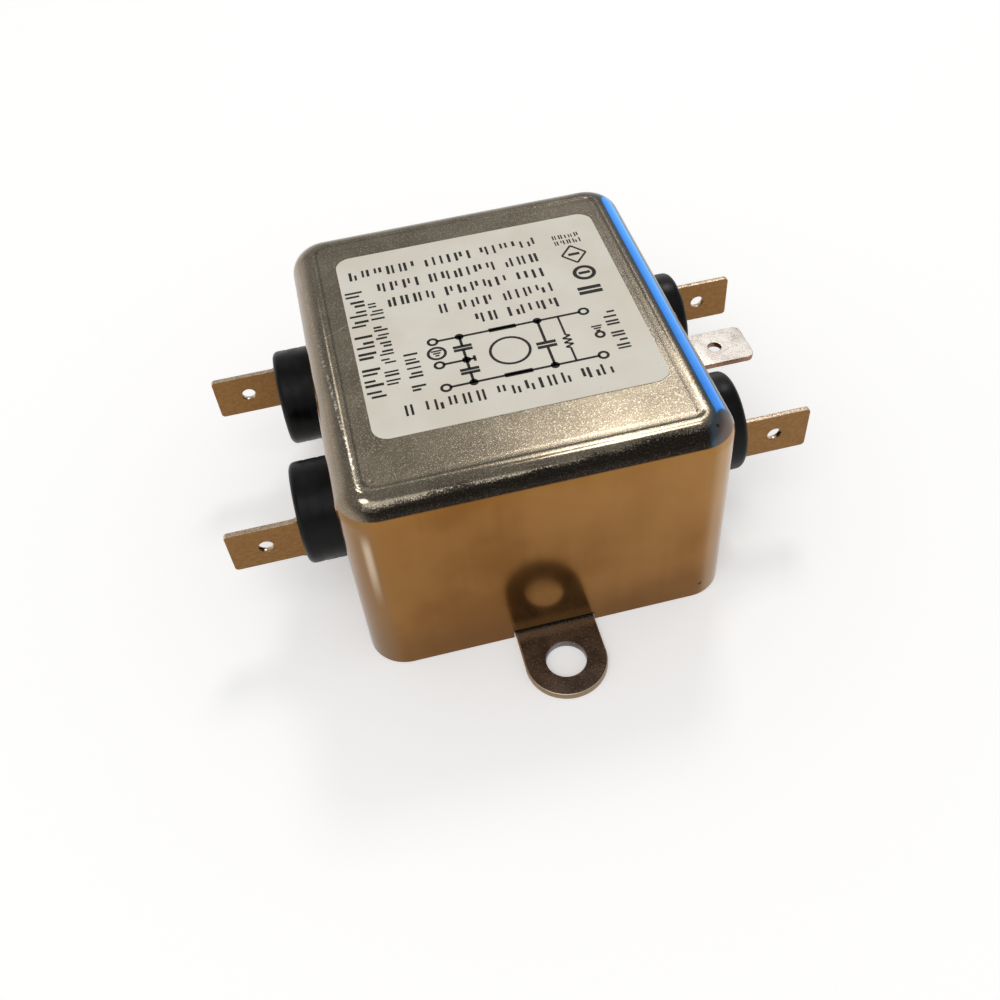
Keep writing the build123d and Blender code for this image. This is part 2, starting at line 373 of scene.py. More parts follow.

# The rounded edge has a dark band along the front, a painted reflection, ragged on its upper side
flat_share = rise(steel, facing_z, 0.9965, 0.9995)
dark_reflection_colour = mottled(steel, speckle, (32, 28, 25), (66, 58, 51), low=0.45, high=0.72)
ragged = both(steel, work(steel, "SUBTRACT", speckle, 0.5), raggedness)
ragged = work(
    steel, "ADD", ragged, both(steel, work(steel, "SUBTRACT", mottle, 0.5), raggedness)
)
dark_reflection_start = rise(steel, spot_x, -17 * mm, 18 * mm, start=0.84, end=0.92)
turned_over = work(steel, "SUBTRACT", work(steel, "ADD", facing_z, ragged), dark_reflection_start)
dark_reflection_share = both(
    steel,
    rise(steel, turned_over, 0.04, -0.06),
    work(steel, "SUBTRACT", 1.0, flat_share),
    rise(steel, facing_x, -0.7, -0.1, start=0.08, end=0.95),
)
top_colour = tint(steel, dark_reflection_share, top_colour, dark_reflection_colour)

# Painted reflections make it dark and bluish on the line side and lighter on the load side; painted
# shade darkens it where the groove turns
line_side_reflection = rise(steel, facing_x, 0.05, 0.2, end=0.9)
line_side_reflection_colour = tint(steel, rise(steel, facing_x, 0.6, 0.7), seen(72, 92, 104), seen(52, 52, 56))
top_colour = tint(steel, line_side_reflection, top_colour, line_side_reflection_colour)
# Painted sheen lightens the front corner on the line side
front_corner_sheen = both(
    steel, rise(steel, facing_x, 0.1, 0.5), rise(steel, facing_y, -0.05, -0.3)
)
top_colour = tint(steel, front_corner_sheen, top_colour, seen(112, 98, 92))
load_side_reflection = rise(steel, facing_x, -0.25, -0.6, end=0.42)
top_colour = tint(steel, load_side_reflection, top_colour, seen(168, 148, 126))
# Painted shade dims the groove's glint where it turns
groove_turn_shade = both(
    steel, rise(steel, facing_x, 0.06, 0.16), rise(steel, spot_x, -15 * mm, -17 * mm)
)
top_colour = tint(steel, groove_turn_shade, top_colour, seen(84, 77, 66))

# A thin broken line of painted glints runs along the load side, a little askew
rim_run = both(steel, work(steel, "SUBTRACT", spot_y, rim_middle_y), rim_slant)
off_rim = away(steel, work(steel, "SUBTRACT", spot_x, rim_middle_x), rim_run)
painted_rim_glints = both(
    steel,
    rise(steel, off_rim, 0.24 * mm, 0.05 * mm),
    rise(steel, grain(steel, 0.5 * mm, detail=3), 0.5, 0.62, start=0.08, end=0.9),
    rise(steel, spot_y, -23 * mm, -22 * mm),
    rise(steel, spot_y, 6 * mm, -12 * mm, start=0.1),
)
top_colour = tint(steel, painted_rim_glints, top_colour, seen(255, 250, 240))

# A nick near the foot of the front wall and a pit at the front corner are painted dark, as the shade
# in them
steel_colour = tint(steel, rise(steel, facing_z, 0.43, 0.37), top_colour, wall_reflection_colour)
foot_nick = near(steel, (19.2 * mm, -26.2 * mm, 2.2 * mm), radius=0.4 * mm)
rim_pit = near(steel, (20.0 * mm, -24.2 * mm, 28.3 * mm), radius=0.3 * mm)
dent_shade = work(steel, "MAXIMUM", foot_nick, rim_pit)
steel_colour = tint(steel, dent_shade, steel_colour, seen(64, 46, 32))
join(steel, steel_colour, steel_shader.inputs["Base Color"])

# The flat of the top is the dullest and the roughest
edge_roughness = rise(steel, facing_z, 0.35, 0.1, start=0.13, end=0.16)
steel_roughness = work(steel, "ADD", edge_roughness, both(steel, flat_share, 0.14))
join(steel, steel_roughness, steel_shader.inputs["Roughness"])
steel_bump = rough_up(steel, steel_shader, speckle, depth=0.012 * mm, strength=0.5)
load_side_bump = rise(steel, facing_x, -0.02, -0.12, start=0.1, end=0.32)
bump_strength = work(steel, "MAXIMUM", both(steel, flat_share, 0.6), load_side_bump)
join(steel, bump_strength, steel_bump.inputs["Strength"])
dress(can, steel)

# Earth tab: a tinned steel strip bent to an L and spot-welded to the line side of the can.
# Its foot lies flat on the can, and its blade stands out level for a push-on receptacle.
strip = 0.8 * mm
tip_rounding = 1.0 * mm
blade_hole_radius = 0.9 * mm
blade_hole_from_tip = 4.5 * mm
weld_radius = 1.1 * mm
weld_pitch = 3.4 * mm
weld_depth = 0.15 * mm
bend_inside = 0.6 * mm
bend_outside = 1.4 * mm
tab_edge_rounding = 0.09 * mm
drill_length = 4 * mm
hair = 0.1 * mm
tab_low, tab_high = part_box("earth_tab")
foot_face = tab_low.x + strip
blade_under = tab_high.z - strip
tab = block("earth_tab_strip", tab_low, (foot_face, tab_high.y, blade_under))
pick(tab, "FACE", lambda centre, normal: faces_up(normal))
bpy.ops.mesh.extrude_region_move(TRANSFORM_OT_translate={"value": (0, 0, strip)})
pick(tab, "FACE", lambda centre, normal: normal.x > nearly and centre.z > blade_under)
tab_reach = (tab_high.x - foot_face, 0, 0)
bpy.ops.mesh.extrude_region_move(TRANSFORM_OT_translate={"value": tab_reach})
pick(tab, "EDGE", lambda middle, run: is_upright(run) and middle.x > tab_high.x - mm)
round_picked(tip_rounding, steps=8)


def runs_across(run):
    """Whether an edge runs from the front to the rear."""
    return abs(run.y) > nearly


def pick_bend(x, z):
    """Select the edge that lies across the tab at this place."""
    bend = Vector((x, 0, z))
    pick(tab, "EDGE", lambda middle, run: runs_across(run) and (middle - bend).length < hair)


pick_bend(foot_face, blade_under)
round_picked(bend_inside, steps=8)
pick_bend(tab_low.x, tab_high.z)
round_picked(bend_outside, steps=10)
hole_place = (tab_high.x - blade_hole_from_tip, 0, tab_high.z)
cut(tab, rod("hole", hole_place, blade_hole_radius, drill_length, sides=40))
weld_middle = (tab_low.z + blade_under) / 2
for z in (weld_middle - weld_pitch / 2, weld_middle + weld_pitch / 2):
    cut(tab, rod("weld", (foot_face, 0, z), weld_radius, 2 * weld_depth, turn=across_can, sides=32))
ease_edges(tab, tab_edge_rounding)
smooth(tab)
stands_for(tab, "earth_tab")


def upward(finish):
    """How far the surface faces up."""
    return parts_of(finish, add(finish, "NewGeometry", {}).outputs["Normal"])[2]


def vary_gloss(finish, shader, pattern, polished, dull):
    """A roughness that follows the pattern."""
    join(finish, rise(finish, pattern, 0.3, 0.7, polished, dull), shader.inputs["Roughness"])


tinned, tinned_shader = new_finish("tinned_strip", metallic=1.0, roughness=0.3)
tin_spot = grain(tinned, 0.35 * mm, detail=3)
tin_cloud = grain(tinned, 2.4 * mm, detail=3)
# The tin is light grey on faces that look up, brightened as a painted highlight, and painted brown on
# the other faces as a reflection of warm surroundings
tin_lit_top = mottled(tinned, tin_cloud, (180, 173, 168), (204, 199, 194), low=0.35, high=0.65)
tin_lit_top = tint(tinned, rise(tinned, tin_spot, 0.62, 0.75), tin_lit_top, seen(168, 158, 152))
tin_side_reflection = mottled(tinned, tin_cloud, (116, 88, 70), (152, 120, 98))
tin_reflection_share = rise(tinned, upward(tinned), 0.85, 0.4)
join(tinned, tint(tinned, tin_reflection_share, tin_lit_top, tin_side_reflection), tinned_shader.inputs["Base Color"])
vary_gloss(tinned, tinned_shader, tin_spot, polished=0.22, dull=0.4)
rough_up(tinned, tinned_shader, tin_spot, depth=0.008 * mm, strength=0.5)
dress(tab, tinned)

# Bushes: four round mouldings of black plastic that carry the blades.
# Each has a head outside, a neck in the can's hole and a snap lip inside.
# The mould leaves two faint rings round the head.
bush_low, bush_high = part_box("bush_line_rear")
bush_axis = Vector((0, bush_offset, top_level / 2))
head_radius = (bush_high.z - bush_low.z) / 2
head_foot = can_high.x
neck_gap = 0.1 * mm
neck_radius = bush_hole_radius - neck_gap
lip_height = 0.4 * mm
lip_radius = neck_radius + lip_height
lip_chamfer = 0.3 * mm
head_rounding = 0.8 * mm
ring_places = (1.5 * mm, 3.1 * mm)
ring_width = 0.25 * mm
ring_depth = 0.05 * mm
slot_gap = 0.05 * mm
slot_half_length = 10 * mm
slot_behind_face = 4 * mm
shank_half = 2.1 * mm
rounding_steps = 6
turning_steps = 96
merge_distance = 0.002 * mm

inner_wall = head_foot - can_wall
bush_outline = [
    (bush_low.x, 0),
    (bush_low.x, lip_radius - lip_chamfer),
    (bush_low.x + lip_chamfer, lip_radius),
    (inner_wall, lip_radius),
    (inner_wall, neck_radius),
    (head_foot, neck_radius),
    (head_foot, head_radius),
]
for ring in ring_places:
    bush_outline += [
        (head_foot + ring - ring_width, head_radius),
        (head_foot + ring, head_radius - ring_depth),
        (head_foot + ring + ring_width, head_radius),
    ]
for step in range(rounding_steps + 1):
    angle = radians(90 * step / rounding_steps)
    bush_outline.append((
        bush_high.x - head_rounding + head_rounding * sin(angle),
        head_radius - head_rounding + head_rounding * cos(angle),
    ))
bush_outline.append((bush_high.x, 0))


def turned(name, outline, axis_place, steps):
    """Spin an outline of (place along X, radius) all the way round a line along X."""
    start = (outline[0][0], axis_place.y, axis_place.z + outline[0][1])
    bpy.ops.object.select_all(action="DESELECT")
    bpy.ops.mesh.primitive_plane_add(size=mm, location=start)
    piece = settle(name)
    bpy.ops.object.mode_set(mode="EDIT")
    bpy.ops.mesh.select_mode(type="VERT")
    bpy.ops.mesh.select_all(action="SELECT")
    bpy.ops.mesh.merge(type="CENTER")
    for before, after in zip(outline, outline[1:]):
        move = (after[0] - before[0], 0, after[1] - before[1])
        bpy.ops.mesh.extrude_vertices_move(TRANSFORM_OT_translate={"value": move})
    bpy.ops.mesh.select_all(action="SELECT")
    bpy.ops.mesh.spin(steps=steps, angle=radians(360), center=axis_place, axis=(1, 0, 0))
    bpy.ops.mesh.select_all(action="SELECT")
    bpy.ops.mesh.remove_doubles(threshold=merge_distance)
    bpy.ops.mesh.normals_make_consistent(inside=False)
    bpy.ops.object.mode_set(mode="OBJECT")
    return piece


def mirrored(piece, name, flip):
    """A copy with its own mesh, mirrored about the middle of the can."""
    twin = piece.copy()
    twin.data = piece.data.copy()
    twin.name = twin.data.name = name
    bpy.context.collection.objects.link(twin)
    twin.scale = flip
    only(twin)
    bpy.ops.object.transform_apply(location=False, rotation=False, scale=True)
    if flip[0] * flip[1] < 0:
        bpy.ops.object.mode_set(mode="EDIT")
        bpy.ops.mesh.select_all(action="SELECT")
        bpy.ops.mesh.normals_make_consistent(inside=False)
        bpy.ops.object.mode_set(mode="OBJECT")
    return twin


corners = {
    "line_rear": (1, 1, 1),
    "line_front": (1, -1, 1),
    "load_rear": (-1, 1, 1),
    "load_front": (-1, -1, 1),
}
blade_low, blade_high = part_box("blade_line_rear")
blade_middle = (blade_low + blade_high) / 2
bush = turned("bush", bush_outline, bush_axis, turning_steps)
slot_reach = Vector((slot_half_length, strip / 2 + slot_gap, shank_half + slot_gap))
slot_middle = Vector((bush_high.x - slot_behind_face, blade_middle.y, blade_middle.z))
cut(bush, block("slot", slot_middle - slot_reach, slot_middle + slot_reach))
plastic, plastic_shader = new_finish("black_plastic", metallic=0.0, roughness=0.45)
plastic_shader.inputs["Specular IOR Level"].default_value = 0.18
plastic_cloud = grain(plastic, 2.2 * mm, detail=3)
plastic_skin = grain(plastic, 0.16 * mm, detail=2)
plastic_colour = mottled(plastic, plastic_cloud, (2, 2, 2), (8, 8, 9), low=0.35, high=0.65)
join(plastic, plastic_colour, plastic_shader.inputs["Base Color"])
vary_gloss(plastic, plastic_shader, plastic_cloud, polished=0.3, dull=0.46)
rough_up(plastic, plastic_shader, plastic_skin, depth=0.01 * mm, strength=0.4)
dress(bush, plastic)
for corner, flip in corners.items():
    copy = mirrored(bush, f"bush_{corner}_moulding", flip)
    smooth(copy)
    stands_for(copy, f"bush_{corner}")
bpy.data.objects.remove(bush)

# Blades: four tin-plated brass strips for push-on receptacles, stamped and coined at the tip.
# Their shoulders seat on the bushes, and their narrower shanks run inside to the circuit.
shoulder_extra = 0.35 * mm
flare_length = 0.6 * mm
tip_chamfer = 0.2 * mm
blade_half = 3.15 * mm
blade_edge_rounding = 0.15 * mm
speck = 0.01 * mm
blade = block(
    "blade",
    (blade_low.x, blade_low.y, blade_middle.z - shank_half),
    (blade_high.x, blade_high.y, blade_middle.z + shank_half),
)
pick(blade, "FACE", lambda centre, normal: True)
bpy.ops.mesh.bisect(plane_co=(bush_high.x, 0, 0), plane_no=(1, 0, 0))
for side in (-1, 1):
    pick(
        blade, "FACE",
        lambda centre, normal: centre.x > bush_high.x and normal.z * side > nearly,
    )
    widening = (0, 0, side * (blade_half - shank_half))
    bpy.ops.mesh.extrude_region_move(TRANSFORM_OT_translate={"value": widening})
pick(blade, "FACE", lambda centre, normal: centre.x > bush_high.x)
bpy.ops.mesh.bisect(plane_co=(bush_high.x + flare_length, 0, 0), plane_no=(1, 0, 0))
for side in (-1, 1):
    pick(
        blade, "EDGE",
        lambda middle, run: runs_across(run)
        and abs(middle.x - bush_high.x) < speck
        and side * (middle.z - blade_middle.z) > blade_half - hair,
    )
    bpy.ops.transform.translate(value=(0, 0, side * shoulder_extra))
pick(blade, "EDGE", lambda middle, run: runs_across(run) and middle.x > blade_high.x - speck)
round_picked(tip_rounding, steps=8)
pick(blade, "EDGE", lambda middle, run: is_upright(run) and middle.x > blade_high.x - speck)
round_picked(tip_chamfer, steps=2)
blade_hole = (blade_high.x - blade_hole_from_tip, blade_middle.y, blade_middle.z)
across_blade = (radians(90), 0, 0)
cut(blade, rod("hole", blade_hole, blade_hole_radius, drill_length, turn=across_blade, sides=40))
ease_edges(blade, blade_edge_rounding)
brass, brass_shader = new_finish("tinned_brass_strip", metallic=1.0, roughness=0.28)
brass_scuff = grain(brass, 0.4 * mm, detail=4, stretch=(0.7, 1, 1))
brass_grit = grain(brass, 0.2 * mm, detail=2)
# The faces are painted brown as a reflection of warm surroundings, and the edges that look up are
# painted bright as a highlight
brass_face_reflection = mottled(brass, brass_scuff, (129, 93, 54), (142, 105, 65))
brass_edge_highlight = mottled(brass, brass_grit, (190, 164, 138), (226, 206, 182), low=0.4, high=0.6)
brass_colour = tint(brass, rise(brass, upward(brass), 0.35, 0.8), brass_face_reflection, brass_edge_highlight)
join(brass, brass_colour, brass_shader.inputs["Base Color"])
vary_gloss(brass, brass_shader, brass_scuff, polished=0.2, dull=0.36)
rough_up(brass, brass_shader, brass_scuff, depth=0.01 * mm, strength=0.4)
dress(blade, brass)
for corner, flip in corners.items():
    copy = mirrored(blade, f"blade_{corner}_strip", flip)
    smooth(copy)
    stands_for(copy, f"blade_{corner}")
bpy.data.objects.remove(blade)

# Choke: a coated ferrite ring with a winding of enamelled wire on each half.
# A strip of fibre board stands in the ring and keeps the two windings apart.
ferrite, ferrite_shader = new_finish("ferrite_coating", metallic=0.0, roughness=0.4)
ferrite_cloud = grain(ferrite, 1.2 * mm, detail=3)
ferrite_colour = mottled(ferrite, ferrite_cloud, (34, 62, 48), (52, 84, 66))
join(ferrite, ferrite_colour, ferrite_shader.inputs["Base Color"])
rough_up(ferrite, ferrite_shader, ferrite_cloud, depth=0.03 * mm, strength=0.5)
board, board_shader = new_finish("fibre_board", metallic=0.0, roughness=0.8)
board_fibre = grain(board, 0.5 * mm, detail=4, stretch=(0.2, 1, 1))
board_colour = mottled(board, board_fibre, (150, 104, 66), (186, 142, 98))
join(board, board_colour, board_shader.inputs["Base Color"])
rough_up(board, board_shader, board_fibre, depth=0.02 * mm, strength=0.5)
enamel, enamel_shader = new_finish("enamelled_wire", metallic=0.85, roughness=0.22)
enamel_cloud = grain(enamel, 1.5 * mm, detail=2)
enamel_colour = mottled(enamel, enamel_cloud, (150, 74, 34), (190, 104, 54))
join(enamel, enamel_colour, enamel_shader.inputs["Base Color"])
enamel_shader.inputs["Coat Weight"].default_value = 0.6
enamel_shader.inputs["Coat Roughness"].default_value = 0.1
dress(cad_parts["choke_core"], ferrite)
dress(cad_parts["choke_divider"], board)
dress(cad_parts["choke_winding_rear"], enamel)
dress(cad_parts["choke_winding_front"], enamel)

# Capacitors and resistor: moulded film capacitors, dipped ceramic discs and a lacquered barrel.
# Their leads are tinned wire, soldered to the blades and to the can.
lead_colour = seen(176, 170, 160)
film_bottom = 15.5 * mm
disc_bottom = 15.3 * mm
barrel_end = 4.5 * mm
dip_edge = 0.05 * mm


def coated_part(name, light, dark, is_body, gloss):
    """A coloured body with bare tinned leads, told apart by where they are on the piece."""
    finish, shader = new_finish(name, metallic=0.0, roughness=gloss)
    skin = grain(finish, 0.8 * mm, detail=3)
    body = mottled(finish, skin, dark, light)
    share = is_body(finish, parts_of(finish, place(finish)))
    join(finish, tint(finish, share, lead_colour, body), shader.inputs["Base Color"])
    join(finish, work(finish, "SUBTRACT", 1.0, share), shader.inputs["Metallic"])
    rough_up(finish, shader, skin, depth=0.02 * mm, strength=0.3)
    return finish


def above(level):
    """A test for what is higher than this level."""
    return lambda finish, spot: rise(finish, spot[2], level - dip_edge, level + dip_edge)


def on_barrel(finish, spot):
    """A test for what is between the ends of the resistor's barrel."""
    return rise(finish, away(finish, spot[1]), barrel_end + dip_edge, barrel_end - dip_edge)


film_case = coated_part("film_case", (214, 176, 62), (196, 156, 48), above(film_bottom), gloss=0.45)
disc_dip = coated_part("disc_dip", (58, 98, 160), (42, 78, 138), above(disc_bottom), gloss=0.35)
barrel_lacquer = coated_part("barrel_lacquer", (196, 164, 122), (176, 142, 100), on_barrel, gloss=0.4)
for node_name, finish in {
    "film_capacitor_line": film_case,
    "film_capacitor_load": film_case,
    "disc_capacitor_front": disc_dip,
    "disc_capacitor_rear": disc_dip,
    "bleed_resistor": barrel_lacquer,
}.items():
    dress(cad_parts[node_name], finish)

# Resin: black potting compound, poured in from below and set hard.
# It fills the can round the choke, the capacitors and their leads, and holds them.
resin, resin_shader = new_finish("potting_resin", metallic=0.0, roughness=0.35)
resin_cloud = grain(resin, 3 * mm, detail=3)
resin_colour = mottled(resin, resin_cloud, (20, 19, 18), (36, 34, 32))
join(resin, resin_colour, resin_shader.inputs["Base Color"])
rough_up(resin, resin_shader, resin_cloud, depth=0.05 * mm, strength=0.4)
dress(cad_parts["resin_filling"], resin)

# Base plate: stamped steel sheet that closes the can from below.
# Its two round-ended ears pass out through the notches, each with a screw hole.
plate_thickness = 1.0 * mm
plate_inset = 0.7 * mm
plate_corner = 4.1 * mm
ear_half = 5.1 * mm
ear_end_radius = ear_half - 0.002 * mm
ear_rounding = 0.25 * mm
ear_hole_radius = 2.5 * mm
ear_hole_rounding = 0.12 * mm
hole_reach = 31.75 * mm
plate_low, plate_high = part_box("base_plate")
plate = block(
    "base_plate_sheet",
    (can_low.x + plate_inset, can_low.y + plate_inset, 0),
    (can_high.x - plate_inset, can_high.y - plate_inset, plate_thickness),
)
pick(plate, "EDGE", lambda middle, run: is_upright(run))
round_picked(plate_corner, steps=12)
plate_end = can_high.y - plate_inset
for side in (-1, 1):
    pick(plate, "FACE", lambda centre, normal: True)
    bpy.ops.mesh.bisect(plane_co=(side * ear_half, 0, 0), plane_no=(1, 0, 0))
for side in (-1, 1):
    pick(plate, "FACE", lambda centre, normal: side * normal.y > nearly and abs(centre.x) < mm)
    ear_reach = (0, side * (plate_high.y - plate_end), 0)
    bpy.ops.mesh.extrude_region_move(TRANSFORM_OT_translate={"value": ear_reach})
pick(plate, "EDGE", lambda middle, run: is_upright(run) and abs(middle.y) > plate_high.y - hair)
round_picked(ear_end_radius, steps=32)
pick(plate, "EDGE", lambda middle, run: not is_upright(run) and abs(middle.y) > plate_end + hair)
round_picked(ear_rounding, steps=3)
ear_holes = rod("holes", (0, hole_reach, 0), ear_hole_radius, drill_length, sides=72)
front_hole = rod("front_hole", (0, -hole_reach, 0), ear_hole_radius, drill_length, sides=72)
only(ear_holes)
front_hole.select_set(True)
bpy.ops.object.join()
cut(plate, ear_holes)


def from_hole(point):
    """How far a point is from the middle of the nearer ear's hole."""
    return Vector((point.x, abs(point.y) - hole_reach)).length


pick(
    plate, "EDGE",
    lambda middle, run: abs(from_hole(middle) - ear_hole_radius) < 2 * speck
    and not is_upright(run),
)
round_picked(ear_hole_rounding, steps=2)
smooth(plate)
stands_for(plate, "base_plate")
plated, plated_shader = new_finish("plated_sheet", metallic=1.0, roughness=0.35)
plated_spot = grain(plated, 0.25 * mm, detail=3)
plated_cloud = grain(plated, 2.5 * mm, detail=3)
plate_x, plate_y, _ = parts_of(plated, place(plated))
from_middle = away(plated, plate_y)
past_hole = work(plated, "MAXIMUM", work(plated, "SUBTRACT", from_middle, hole_reach), 0.0)
from_spine = add(plated, "CombineXYZ", {0: plate_x, 1: past_hole}).outputs[0]
ear_distance = add(plated, "VectorMath", {0: from_spine}, operation="LENGTH").outputs["Value"]
# A painted highlight runs along the rounded rim of each ear, with painted shade on its cut side
ear_rim_highlight = rise(plated, ear_distance, ear_half - 0.2 * mm, ear_half - 0.05 * mm)
cut_side_shade = rise(plated, ear_distance, ear_half - 0.12 * mm, ear_half - 0.02 * mm)
bright_spots = rise(plated, plated_spot, 0.55, 0.75, end=0.6)
by_wall = rise(plated, from_middle, can_high.y + 1.9 * mm, can_high.y + 0.9 * mm, end=0.5)
plated_colour = mottled(plated, plated_cloud, (100, 96, 95), (132, 128, 126))
plated_colour = tint(plated, bright_spots, plated_colour, seen(196, 189, 180))
plated_colour = tint(plated, by_wall, plated_colour, seen(190, 182, 170))
plated_colour = tint(plated, ear_rim_highlight, plated_colour, seen(240, 230, 212))
plated_colour = tint(plated, cut_side_shade, plated_colour, seen(150, 126, 98))
join(plated, plated_colour, plated_shader.inputs["Base Color"])
vary_gloss(plated, plated_shader, plated_spot, polished=0.26, dull=0.42)
rough_up(plated, plated_shader, plated_spot, depth=0.01 * mm, strength=0.5)
dress(plate, plated)

# Label: a thin off-white plastic film with rounded corners.
# It is cut from a sheet and stuck on top of the can by its own glue.
label_print_depth = 0.02 * mm
label_corner = 2.0 * mm
label_edge_rounding = 0.03 * mm
label_low, label_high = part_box("label")
film_top = label_high.z - label_print_depth
label = block("label_sheet", label_low, (label_high.x, label_high.y, film_top))
pick(label, "EDGE", lambda middle, run: is_upright(run))
round_picked(label_corner, steps=10)
pick(label, "EDGE", lambda middle, run: middle.z > film_top - speck)
round_picked(label_edge_rounding, steps=2)
smooth(label)
stands_for(label, "label")
film, film_shader = new_finish("label_film", metallic=0.0, roughness=0.42)
film_shader.inputs["Specular IOR Level"].default_value = 0.25
film_cloud = grain(film, 9 * mm, detail=3)
film_dust = grain(film, 0.3 * mm, detail=2)
film_colour = mottled(film, film_cloud, (230, 224, 209), (238, 233, 220), low=0.35, high=0.65)
dusty = rise(film, film_dust, 0.66, 0.8, end=0.5)
film_colour = tint(film, dusty, film_colour, seen(188, 180, 165))
join(film, film_colour, film_shader.inputs["Base Color"])
vary_gloss(film, film_shader, film_cloud, polished=0.36, dull=0.5)
rough_up(film, film_shader, film_cloud, depth=0.03 * mm, strength=0.3)
dress(label, film)

# Print on the label: black ink, with a circuit diagram in plain shapes.
# Rows of strokes and bars fill the places where such a label has words.
# Its places and sizes are in millimetres, from the middle of the can.
line_weight = 0.34
fine_weight = 0.26
bold_weight = 0.5
near_line = -9.8
far_line = -1.3
earth_line = -5.7
load_end = -7.2
line_end = 10.8
terminal_radius = 0.55
terminal_gap = 0.5
coil_x = 1.0
coil_length = 3.4
coil_width = 0.7
core_middle = (0.97, -5.6)
core_radius = 2.4
earth_column = -4.4
earth_tie = -3.4
tie_half = 0.5
disc_levels = (-3.45, -7.7)
disc_gap_half = 0.3
disc_plate = (2.3, 0.46)
disc_stops = (far_line, -3.1, -3.8, -7.35, -8.05, near_line)
film_column = 5.4
film_level = -5.9
film_gap_half = 0.35
film_plate = (2.4, 0.5)
film_stops = (far_line, -5.4, -6.4, near_line)
resistor_column = 8.0
zigzag_start = -4.9
zigzag_end = -7.3
zigzag_half = 0.5
zigzag_pitch = 0.4
zigzag_turns = 6
ringed_earth = (-7.6, -3.5)
earth_ring_radius = 1.05
plain_earth = (12.0, -4.9)
earth_terminal = (12.0, -6.1)
earth_terminal_radius = 0.5
earth_bars = (1.3, 0.9, 0.5)
earth_bar_pitch = 0.42
earth_bar_weight = 0.24
ink_shapes = []


def ink_bar(x, y, length, width, turn=0):
    """A straight printed bar, turned by degrees."""
    bpy.ops.mesh.primitive_plane_add(
        size=1, location=(x * mm, y * mm, film_top), rotation=(0, 0, radians(turn))
    )
    bpy.context.object.scale = (length * mm, width * mm, 1)
    ink_shapes.append(bpy.context.object)


def ink_line(start, end, width=line_weight):
    """A printed line from start to end."""
    run = Vector(end) - Vector(start)
    middle = (Vector(start) + Vector(end)) / 2
    turn = Vector((1, 0)).angle_signed(run)
    ink_bar(middle.x, middle.y, run.length, width, turn=-degrees(turn))


def ink_dot(x, y, radius):
    """A printed dot."""
    bpy.ops.mesh.primitive_circle_add(
        vertices=28, radius=radius * mm, fill_type="NGON", location=(x * mm, y * mm, film_top)
    )
    ink_shapes.append(bpy.context.object)


def ink_ring(x, y, radius, width=line_weight):
    """A printed ring, made of a dot with its middle taken out."""
    ink_dot(x, y, radius + width / 2)
    bpy.ops.object.mode_set(mode="EDIT")
    bpy.ops.mesh.inset(thickness=width * mm)
    bpy.ops.mesh.delete(type="FACE")
    bpy.ops.object.mode_set(mode="OBJECT")


def ink_column(x, stops):
    """Upright lines from the first stop to the second, the third to the fourth and so on."""
    for start, end in zip(stops[::2], stops[1::2]):
        ink_line((x, start), (x, end))


only(label)
for y in (near_line, far_line):
    ink_line((load_end, y), (line_end, y))
    ink_ring(load_end - terminal_gap, y, terminal_radius)
    ink_ring(line_end + terminal_gap, y, terminal_radius)
    ink_bar(coil_x, y, coil_length, coil_width)
ink_ring(*core_middle, core_radius)
ink_line((load_end, earth_line), (earth_tie, earth_line))
ink_line((earth_tie, earth_line - tie_half), (earth_tie, earth_line + tie_half))
ink_ring(load_end - terminal_gap, earth_line, terminal_radius)
for level in disc_levels:
    for gap in (-disc_gap_half, disc_gap_half):
        ink_bar(earth_column, level + gap, *disc_plate)
ink_column(earth_column, disc_stops)
ink_column(film_column, film_stops)
for gap in (-film_gap_half, film_gap_half):
    ink_bar(film_column, film_level + gap, *film_plate)
for x, y in (
    (earth_column, far_line),
    (earth_column, near_line),
    (earth_column, earth_line),
    (film_column, far_line),
    (film_column, near_line),
):
    ink_dot(x, y, terminal_radius)
zigzag = [(resistor_column, far_line), (resistor_column, zigzag_start)]
for step in range(zigzag_turns):
    side = 1 - 2 * (step % 2)
    drop = zigzag_pitch * (step + 0.5)
    zigzag.append((resistor_column + side * zigzag_half, zigzag_start - drop))
zigzag += [(resistor_column, zigzag_end), (resistor_column, near_line)]
for start, end in zip(zigzag, zigzag[1:]):
    ink_line(start, end, fine_weight)
for x, y in (ringed_earth, plain_earth):
    for step, length in enumerate(earth_bars):
        ink_bar(x, y + earth_bar_pitch * (1 - step), length, earth_bar_weight)
ink_ring(*ringed_earth, earth_ring_radius)
ink_ring(*earth_terminal, earth_terminal_radius)

# The rows of strokes differ in height, weight and spacing as words do, seen from afar
group_sizes = (3, 6)
strokes_together = (1, 2, 2, 2)
stroke_heights = (1.0, 1.0, 1.0, 0.8, 0.6)
stroke_weights = (0.16, 0.2)
stroke_pitch = 0.36
letter_gap = 0.2
group_gap = 0.45
level_rows = (
    (14.8, -15.8, 9.0),
    (11.3, -12.1, 8.5),
    (8.0, -11.2, 8.4),
    (4.7, -6.3, 8.7),
    (1.5, -1.5, 8.6),
    (-12.2, -12.9, 11.5),
)
level_row_height = 1.8
upright_rows = (
    (-15.7, 11.3, -9.9, 2.2),
    (-13.4, 8.4, -7.1, 1.7),
    (14.1, -2.3, -9.0, 1.6),
    (-10.7, -2.7, -9.1, 1.7),
)
bars_middle = (13.3, 2.6)
bars_gap_half = 0.45
bar_size = (3.0, 0.6)
ring_middle = (13.6, 6.2)
ring_radius = 1.25
diamond_middle = (13.4, 10.4)
diamond_half_width = 1.6
diamond_half_height = 1.9
diamond_weight = 0.28
mark_bar = (1.5, 0.5)
small_rows = (14.6, 13.3)
small_row_ends = (15.0, 11.9)
small_row_height = 0.9


